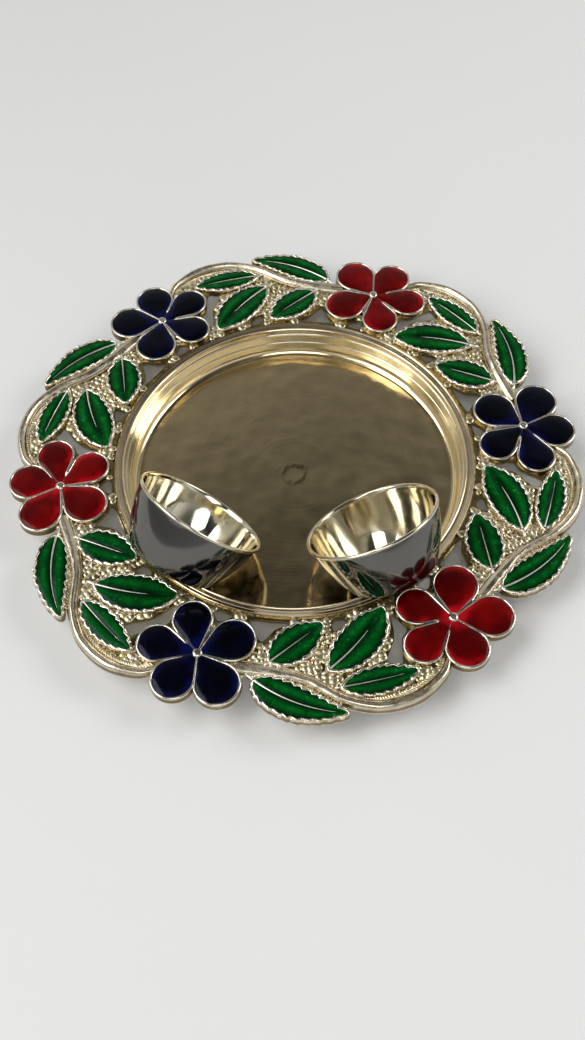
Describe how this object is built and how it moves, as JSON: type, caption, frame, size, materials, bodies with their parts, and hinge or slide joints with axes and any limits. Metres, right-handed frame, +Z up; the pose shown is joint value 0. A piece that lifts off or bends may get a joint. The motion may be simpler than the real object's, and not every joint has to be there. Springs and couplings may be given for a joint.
{
  "type": "puja thali",
  "caption": "Round offering plate with a shallow spun dish in an openwork cast border of enamelled flowers and leaves, and loose flat-footed cups leaning on its lip.",
  "frame": {"origin": "on the surface that the thali stands on, under the middle of the dish", "axes": "+Z up, +Y away from the viewer and from the two bowls, +X to the right"},
  "size_m": [0.2116, 0.2116, 0.046],
  "materials": {
    "pale_gold_plating": "bright pale gold plating over a cast surface",
    "polished_brass": "polished, lacquered",
    "bright_plating": "mirror-bright pale plating",
    "red_enamel": "glossy translucent enamel",
    "blue_enamel": "glossy translucent enamel",
    "green_enamel": "glossy translucent enamel"
  },
  "bodies": {
    "thali": {"dish": "polished_brass", "border_frame": "pale_gold_plating", "flower_1_petal_a": "blue_enamel", "flower_1_petal_b": "blue_enamel", "flower_1_petal_c": "blue_enamel", "flower_1_petal_d": "blue_enamel", "flower_1_petal_e": "blue_enamel", "flower_2_petal_a": "red_enamel", "flower_2_petal_b": "red_enamel", "flower_2_petal_c": "red_enamel", "flower_2_petal_d": "red_enamel", "flower_2_petal_e": "red_enamel", "flower_3_petal_a": "blue_enamel", "flower_3_petal_b": "blue_enamel", "flower_3_petal_c": "blue_enamel", "flower_3_petal_d": "blue_enamel", "flower_3_petal_e": "blue_enamel", "flower_4_petal_a": "red_enamel", "flower_4_petal_b": "red_enamel", "flower_4_petal_c": "red_enamel", "flower_4_petal_d": "red_enamel", "flower_4_petal_e": "red_enamel", "flower_5_petal_a": "blue_enamel", "flower_5_petal_b": "blue_enamel", "flower_5_petal_c": "blue_enamel", "flower_5_petal_d": "blue_enamel", "flower_5_petal_e": "blue_enamel", "flower_6_petal_a": "red_enamel", "flower_6_petal_b": "red_enamel", "flower_6_petal_c": "red_enamel", "flower_6_petal_d": "red_enamel", "flower_6_petal_e": "red_enamel", "spray_1_leaf_a": "green_enamel", "spray_1_leaf_b": "green_enamel", "spray_1_leaf_c": "green_enamel", "spray_1_leaf_d": "green_enamel", "spray_2_leaf_a": "green_enamel", "spray_2_leaf_b": "green_enamel", "spray_2_leaf_c": "green_enamel", "spray_2_leaf_d": "green_enamel", "spray_3_leaf_a": "green_enamel", "spray_3_leaf_b": "green_enamel", "spray_3_leaf_c": "green_enamel", "spray_3_leaf_d": "green_enamel", "spray_4_leaf_a": "green_enamel", "spray_4_leaf_b": "green_enamel", "spray_4_leaf_c": "green_enamel", "spray_4_leaf_d": "green_enamel", "spray_5_leaf_a": "green_enamel", "spray_5_leaf_b": "green_enamel", "spray_5_leaf_c": "green_enamel", "spray_5_leaf_d": "green_enamel", "spray_6_leaf_a": "green_enamel", "spray_6_leaf_b": "green_enamel", "spray_6_leaf_c": "green_enamel", "spray_6_leaf_d": "green_enamel"},
    "left_bowl": {"bowl_left": "bright_plating"},
    "right_bowl": {"bowl_right": "bright_plating"}
  },
  "joints": [
    {"name": "left_bowl_lift", "type": "slide", "parent": "thali", "child": "left_bowl", "axis": [0, 0, 1], "range_m": [0, 0.06]},
    {"name": "right_bowl_lift", "type": "slide", "parent": "thali", "child": "right_bowl", "axis": [0, 0, 1], "range_m": [0, 0.06]}
  ]
}
